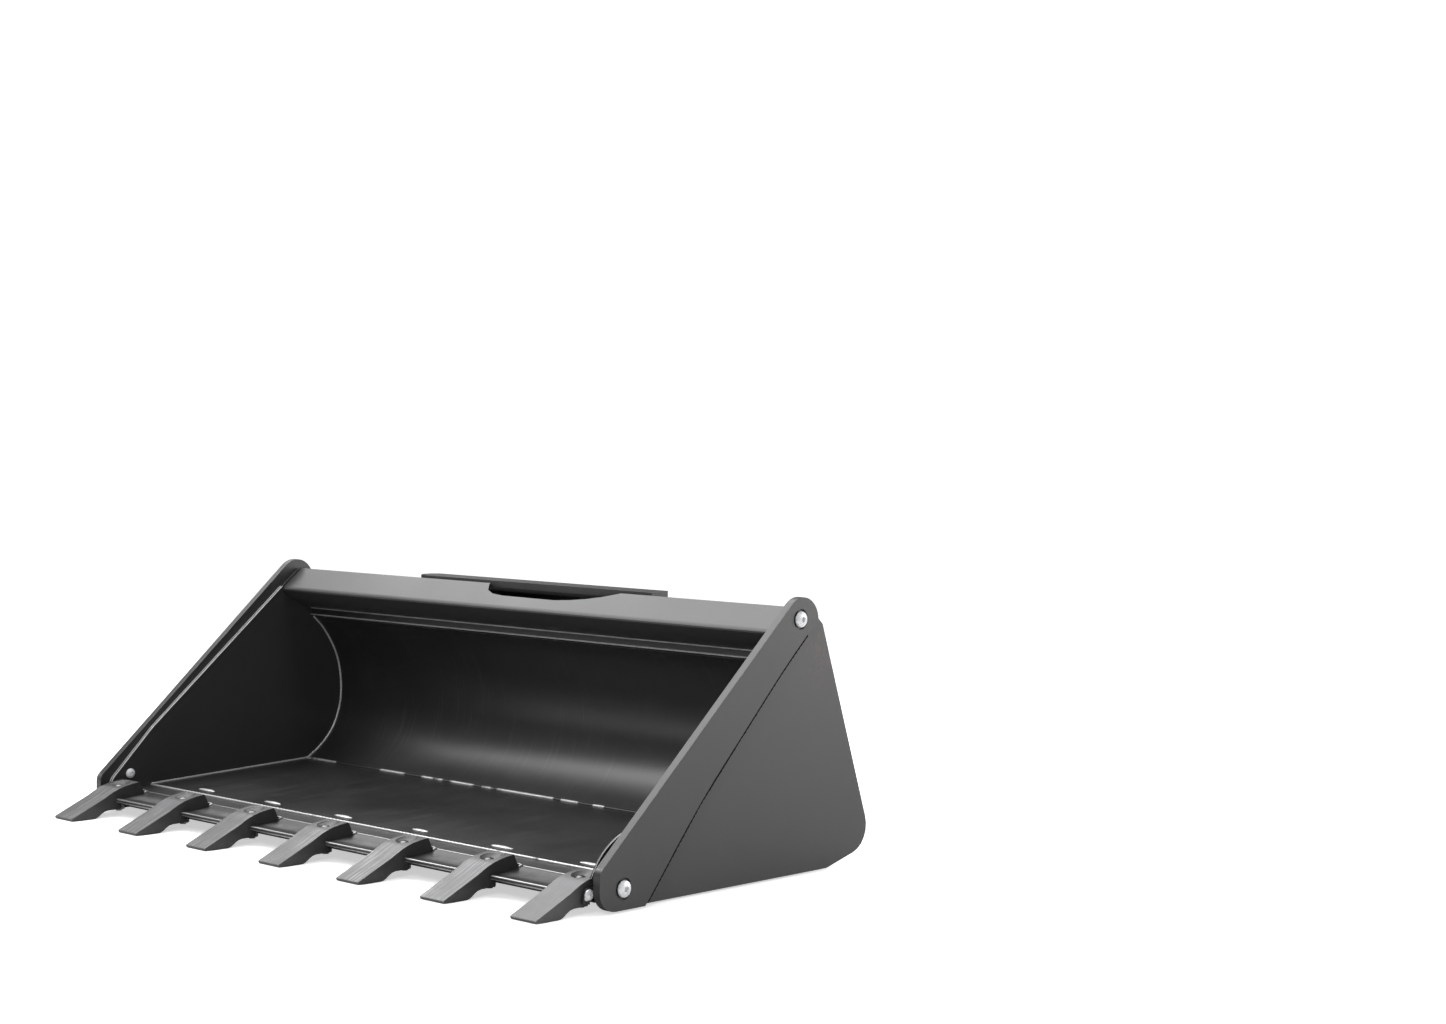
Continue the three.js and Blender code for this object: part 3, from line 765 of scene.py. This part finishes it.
class BUCKET_OT_edge(bpy.types.Operator):
    """Cutting edge, the dished segments between the teeth and the end blocks"""
    bl_idname = "bucket.edge"
    bl_label = "Cutting edge"

    def execute(self, context):
        width = context.scene.bucket_sizes.tooth_round
        dressed(["cutting_edge"], width, finish_called("Edge paint"), EDGE_STEEL)
        dressed([f"edge_segment_{i}" for i in SEGMENTS], width,
                finish_called("Segment steel"), EDGE_STEEL)
        dressed([f"end_block_{side}" for side, _ in SIDES], width,
                finish_called("Frame paint"), PAINT)
        return {"FINISHED"}


class BUCKET_OT_teeth(bpy.types.Operator):
    """Seven wedge teeth"""
    bl_idname = "bucket.teeth"
    bl_label = "Teeth"

    def execute(self, context):
        dressed([f"tooth_{i}" for i in TEETH], context.scene.bucket_sizes.tooth_round,
                finish_called("Tooth steel"), TOOTH_STEEL)
        return {"FINISHED"}


def drill_socket(piece, spot, turn, across, depth):
    """Cuts a hexagon socket into a bolt head."""
    start_clean()
    bpy.ops.mesh.primitive_cylinder_add(
        vertices=6, radius=across / math.sqrt(3.0), depth=2 * depth, location=spot,
        rotation=turn)
    cut_away(piece, new_piece("socket_tool"))


class BUCKET_OT_strip(bpy.types.Operator):
    """Curved stiffening strip inside the front corner of the right side plate"""
    bl_idname = "bucket.strip"
    bl_label = "Corner strip"

    def execute(self, context):
        depth, height = STRIP_MIDDLE
        start, sweep = math.radians(STRIP_START), math.radians(STRIP_SWEEP)
        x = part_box("side_plate_right")[0].x - STRIP_GAP - STRIP_THICK / 2
        reach = STRIP_RADIUS - STRIP_DEEP / 2
        start_clean()
        bpy.ops.mesh.primitive_plane_add(
            size=1.0, rotation=(start, 0.0, 0.0),
            location=(x, depth + reach * math.cos(start), height + reach * math.sin(start)))
        bpy.context.object.scale = (STRIP_THICK, STRIP_DEEP, 1.0)
        strip = new_piece("corner_strip_right")
        open_mesh(strip, "FACE", True)
        bpy.ops.mesh.spin(steps=STRIP_STEPS, angle=-sweep, center=(x, depth, height),
                          axis=(1.0, 0.0, 0.0))
        bpy.ops.mesh.select_all(action="SELECT")
        bpy.ops.mesh.normals_make_consistent(inside=False)
        close_mesh()
        soften(strip, context.scene.bucket_sizes.sheet_round * 1.3)
        settle(strip, finish_called("Lip paint"), PAINT)
        return {"FINISHED"}


class BUCKET_OT_fasteners(bpy.types.Operator):
    """Zinc bolts with socket heads, nuts and the small screws at the ends"""
    bl_idname = "bucket.fasteners"
    bl_label = "Fasteners"

    def execute(self, context):
        zinc = finish_called("Zinc plate")
        heads = []
        for side, way in SIDES:
            for node, outward in ((f"side_bolt_top_{side}", way),
                                  (f"side_bolt_low_{side}", way),
                                  (f"inner_bolt_{side}", -way), (f"end_bolt_{side}", way)):
                spot = middle(node)
                spot.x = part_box(node)[outward > 0].x
                heads.append((node, spot, SIDEWAYS))
        for i in TEETH:
            node = f"tooth_bolt_{i}"
            spot = middle(node)
            spot.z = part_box(node)[1].z
            heads.append((node, spot, TOOTH_BOLT_TURN))
        for node, spot, turn in heads:
            across, plating = BOLTS[node.split("_")[0]]
            piece = copy_of(node)
            drill_socket(piece, spot, turn, across, across * SOCKET_DEPTH)
            soften(piece, BOLT_ROUND)
            settle(piece, finish_called(plating), ZINC, node)
        dressed([f"tooth_nut_{i}" for i in TEETH], NUT_ROUND, zinc, ZINC)
        for side, way in SIDES:
            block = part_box(f"end_block_{side}")
            face = block[way > 0].x
            spot = Vector((face + way * SCREW_STAND, block[0].y + SCREW_IN, SCREW_UP))
            start_clean()
            bpy.ops.mesh.primitive_cylinder_add(vertices=24, radius=SCREW_RADIUS,
                                                depth=SCREW_HEIGHT, location=spot,
                                                rotation=SIDEWAYS)
            screw = new_piece(f"end_screw_{side}")
            choose_faces(screw, lambda normal: normal.x * way > 0.9)
            bpy.ops.mesh.bevel(offset=SCREW_DOME, segments=3, affect="EDGES")
            close_mesh()
            top = spot + Vector((way * SCREW_HEIGHT / 2, 0.0, 0.0))
            drill_socket(screw, top, SIDEWAYS, SCREW_SOCKET, SCREW_SOCKET_DEPTH)
            soften(screw, SCREW_ROUND)
            settle(screw, zinc, ZINC)
        return {"FINISHED"}


class BUCKET_OT_mount(bpy.types.Operator):
    """Quick-attach plate, hook rail, latch rail, ribs and skid bars"""
    bl_idname = "bucket.mount"
    bl_label = "Mount"

    def execute(self, context):
        width = context.scene.bucket_sizes.sheet_round
        nodes = ["mount_face_plate", "mount_hook_rail", "mount_bottom_rail",
                 "mount_gusset_left", "mount_gusset_right", "rear_rib_left",
                 "rear_rib_right"] + [f"skid_bar_{i}" for i in range(1, 5)]
        dressed(nodes, width, finish_called("Frame paint"), PAINT)
        return {"FINISHED"}


def shell_profile():
    """The inner line of the shell's section, from the floor up, read off its end face."""
    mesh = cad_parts["shell"].data
    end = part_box("shell")[0].x
    spots = {(round(v.co.y, 5), round(v.co.z, 5)) for v in mesh.vertices
             if abs(v.co.x - end) < 0.0005}
    line = []
    for spot in spots:
        here = Vector(spot)
        reach = (here - SHELL_MIDDLE).length
        if any((Vector(other) - here).length < SHELL_REACH
               and (Vector(other) - SHELL_MIDDLE).length > reach + 0.004
               for other in spots):
            line.append(spot)
    return sorted(line, key=lambda spot: spot[1])


def pushed_out(line, wall):
    """A copy of the shell's inner line, moved out through the wall."""
    moved = []
    for i, spot in enumerate(line):
        along = Vector(line[min(i + 1, len(line) - 1)]) - Vector(line[max(i - 1, 0)])
        across = Vector((along.y, -along.x)).normalized()
        here = Vector(spot)
        if across.dot(here - SHELL_MIDDLE) < 0:
            across = -across
        moved.append(here + across * wall)
    return moved


def lay_bead(name, points, radius, pitch, finish, slot=PAINT, *, seed):
    """One rippled bead along a line of points, for the welds, the painted highlight lines
    and the painted seam shadow.
    """
    path = bpy.data.curves.new("weld_path", "CURVE")
    path.dimensions = "3D"
    line = path.splines.new("POLY")
    line.points.add(len(points) - 1)
    for knot, spot in zip(line.points, points):
        knot.co = (*spot, 1.0)
    guide = bpy.data.objects.new("weld_path", path)
    bpy.context.scene.collection.objects.link(guide)
    length = sum((Vector(b) - Vector(a)).length for a, b in zip(points, points[1:]))
    count = max(2, int(length / pitch))
    step = length / count

    start_clean()
    bpy.ops.mesh.primitive_circle_add(vertices=8, radius=radius, location=(0.0, 0.0, 0.0),
                                      rotation=SIDEWAYS)
    bead = new_piece(name)
    open_mesh(bead, "VERT", True)
    for share, size in RIPPLE:
        bpy.ops.mesh.extrude_region_move(
            TRANSFORM_OT_translate={"value": (step * share, 0.0, 0.0)})
        bpy.ops.transform.resize(value=(1.0, size, size))
    close_mesh()
    row = bead.modifiers.new("Ripples", "ARRAY")
    row.count = count
    row.use_relative_offset = False
    row.use_constant_offset = True
    row.constant_offset_displace = (step, 0.0, 0.0)
    row.use_merge_vertices = True
    row.merge_threshold = radius * 0.02
    apply_all(bead)
    open_mesh(bead, "EDGE")
    bpy.ops.mesh.select_non_manifold()
    bpy.ops.mesh.edge_face_add()
    bpy.ops.mesh.select_all(action="SELECT")
    bpy.ops.mesh.normals_make_consistent(inside=False)
    bpy.ops.transform.vertex_random(offset=radius * 0.09, seed=seed)
    close_mesh()
    bend = bead.modifiers.new("Path", "CURVE")
    bend.object = guide
    bend.deform_axis = "POS_X"
    apply_all(bead)
    bpy.data.objects.remove(guide)
    bpy.data.curves.remove(path)
    pick(bead)
    bpy.ops.object.shade_smooth()
    return settle(bead, finish, slot)


def floor_front():
    """Depth and height of the floor plate's front edge."""
    low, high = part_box("floor_plate")
    return low.y, high.z - (high.y - low.y) * FLOOR_RISE


def floor_height(depth):
    """Height of the floor plate's top at a depth."""
    front, height = floor_front()
    return height + (depth - front) * FLOOR_RISE


def left_to_right(half, depth, height):
    """A straight line from left to right."""
    return [(-half, depth, height), (half, depth, height)]


class BUCKET_OT_welds(bpy.types.Operator):
    """Weld beads along the seams and teeth, bright beads along the rims as painted highlight
    lines, and a matt black bead behind each side cutter as painted shadow
    """
    bl_idname = "bucket.welds"
    bl_label = "Welds"

    def execute(self, context):
        sizes = context.scene.bucket_sizes
        radius, pitch = sizes.bead_radius, sizes.bead_pitch
        worn, rubbed = finish_called("Weld worn"), finish_called("Weld rubbed")
        bright, painted_shadow = finish_called("Weld bright"), finish_called("Seam seal")
        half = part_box("floor_plate")[1].x - 0.001
        front, front_z = floor_front()
        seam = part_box("shell")[0].y
        seam_z = floor_height(seam)
        lay_bead("weld_seam", left_to_right(half, seam - 0.001, seam_z), radius, pitch, worn,
                 seed=3)
        lay_bead("weld_ridge", left_to_right(half, front, front_z - 0.002), radius * 0.75,
                 pitch * 2.4, rubbed, EDGE_STEEL, seed=5)
        lip_low, lip_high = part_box("top_lip")
        # Bright beads along the lip's edges: painted highlight lines
        for layer, z in enumerate((lip_low.z + 0.0052, lip_high.z - 0.0004), 1):
            lay_bead(f"lip_rim_{layer}", left_to_right(half, lip_low.y - 0.0003, z),
                     LIP_BEAD, LIP_PITCH, bright, seed=40)
        section = shell_profile()
        for side, way in SIDES:
            x = way * half
            # Welds along the floor and shell seams in the bright finish: real welds, with
            # painted highlight lines on them
            lay_bead(f"weld_floor_{side}", [(x, front, front_z), (x, seam, seam_z)],
                     radius * 0.8, pitch * 2, bright, seed=7)
            lay_bead(f"weld_shell_{side}", [(x, y - 0.0005, z) for y, z in section],
                     radius * 0.7, pitch * 2, bright, seed=9)
            lay_bead(f"weld_back_{side}",
                     [(x, y, z) for y, z in pushed_out(section[2:], SHELL_BACK)],
                     radius, pitch * 1.4, worn, seed=12)
            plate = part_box(f"side_plate_{side}")
            inner, outer = plate[way < 0].x, plate[way > 0].x
            # Bright beads along the side plate's front edges: painted highlight lines
            rims = ((inner - way * 0.0002, RIM_INNER), (outer - way * 0.0014, RIM_OUTER))
            for layer, (spot, size) in enumerate(rims, 1):
                lay_bead(f"rim_weld_{side}_{layer}", [(spot, y, z) for y, z in PLATE_FRONT],
                         size, RIM_PITCH, bright, seed=30)
            # A matt black bead behind each side cutter: painted shadow for the shade in the
            # step
            for layer, out in enumerate(SEAM_SHADOW_STANDS, 1):
                lay_bead(f"seam_seal_{side}_{layer}",
                         [(outer + way * out, y + SEAM_SHADOW_SHIFT.x, z + SEAM_SHADOW_SHIFT.y)
                          for y, z in CUTTER_BACK],
                         SEAM_SHADOW_RADIUS, SEAM_SHADOW_PITCH, painted_shadow, seed=20)
        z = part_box("cutting_edge")[1].z
        for i in TEETH:
            low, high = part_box(f"tooth_{i}")
            lay_bead(f"tooth_weld_{i}", [
                (low.x + 0.003, high.y, z), (high.x, high.y, z),
                (high.x + 0.001, high.y - 0.010, z - 0.001)],
                radius * 0.7, pitch * 2, rubbed, EDGE_STEEL, seed=10 + i)
        return {"FINISHED"}


class BUCKET_OT_stitches(bpy.types.Operator):
    """Short flat welds on the floor plate, one behind each segment"""
    bl_idname = "bucket.stitches"
    bl_label = "Stitches"

    def execute(self, context):
        front, front_z = floor_front()
        chance = random.Random(11)
        for i in SEGMENTS:
            low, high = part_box(f"edge_segment_{i}")
            y = front + STITCH_BACK + chance.uniform(-0.005, 0.005)
            long = context.scene.bucket_sizes.stitch_length * chance.uniform(0.85, 1.2)
            x = (low.x + high.x) / 2 + chance.uniform(-0.008, 0.012)
            start_clean()
            bpy.ops.mesh.primitive_uv_sphere_add(
                segments=20, ring_count=12, radius=1.0, location=(x, y, floor_height(y)),
                scale=(long / 2, STITCH_DEEP, STITCH_HIGH))
            stitch = new_piece(f"floor_stitch_{i}")
            open_mesh(stitch, "VERT", True)
            bpy.ops.mesh.bisect(plane_co=(x, y, front_z - 0.001), plane_no=(0.0, 0.0, 1.0),
                                use_fill=True, clear_inner=True)
            bpy.ops.mesh.select_all(action="SELECT")
            bpy.ops.transform.vertex_random(offset=STITCH_ROUGH, seed=30 + i)
            close_mesh()
            pick(stitch)
            bpy.ops.object.shade_smooth()
            settle(stitch, finish_called("Weld rubbed"), PAINT)
        return {"FINISHED"}


class BUCKET_PT_panel(bpy.types.Panel):
    """Sizes, colours and the steps of the bucket"""
    bl_idname = "BUCKET_PT_panel"
    bl_label = "Skid Steer Bucket"
    bl_space_type = "VIEW_3D"
    bl_region_type = "UI"
    bl_category = "Bucket"

    def draw(self, context):
        layout = self.layout
        for group in (context.scene.bucket_sizes, context.scene.bucket_colours):
            box = layout.box()
            for key in group.__annotations__:
                box.prop(group, key)
        for step in STEPS:
            layout.operator(step.bl_idname)


STEPS = (BUCKET_OT_stage, BUCKET_OT_finishes, BUCKET_OT_scoop, BUCKET_OT_sides,
         BUCKET_OT_top, BUCKET_OT_edge, BUCKET_OT_teeth, BUCKET_OT_strip,
         BUCKET_OT_fasteners, BUCKET_OT_mount, BUCKET_OT_welds, BUCKET_OT_stitches)
CLASSES = (BucketSizes, BucketColours, *STEPS, BUCKET_PT_panel)


def register():
    for kind in CLASSES:
        bpy.utils.register_class(kind)
    bpy.types.Scene.bucket_sizes = bpy.props.PointerProperty(type=BucketSizes)
    bpy.types.Scene.bucket_colours = bpy.props.PointerProperty(type=BucketColours)


def unregister():
    del bpy.types.Scene.bucket_colours
    del bpy.types.Scene.bucket_sizes
    for kind in reversed(CLASSES):
        bpy.utils.unregister_class(kind)


def main():
    register()
    for step in STEPS:
        group, name = step.bl_idname.split(".")
        getattr(getattr(bpy.ops, group), name)()
    start_clean()


if __name__ == "__main__":
    main()
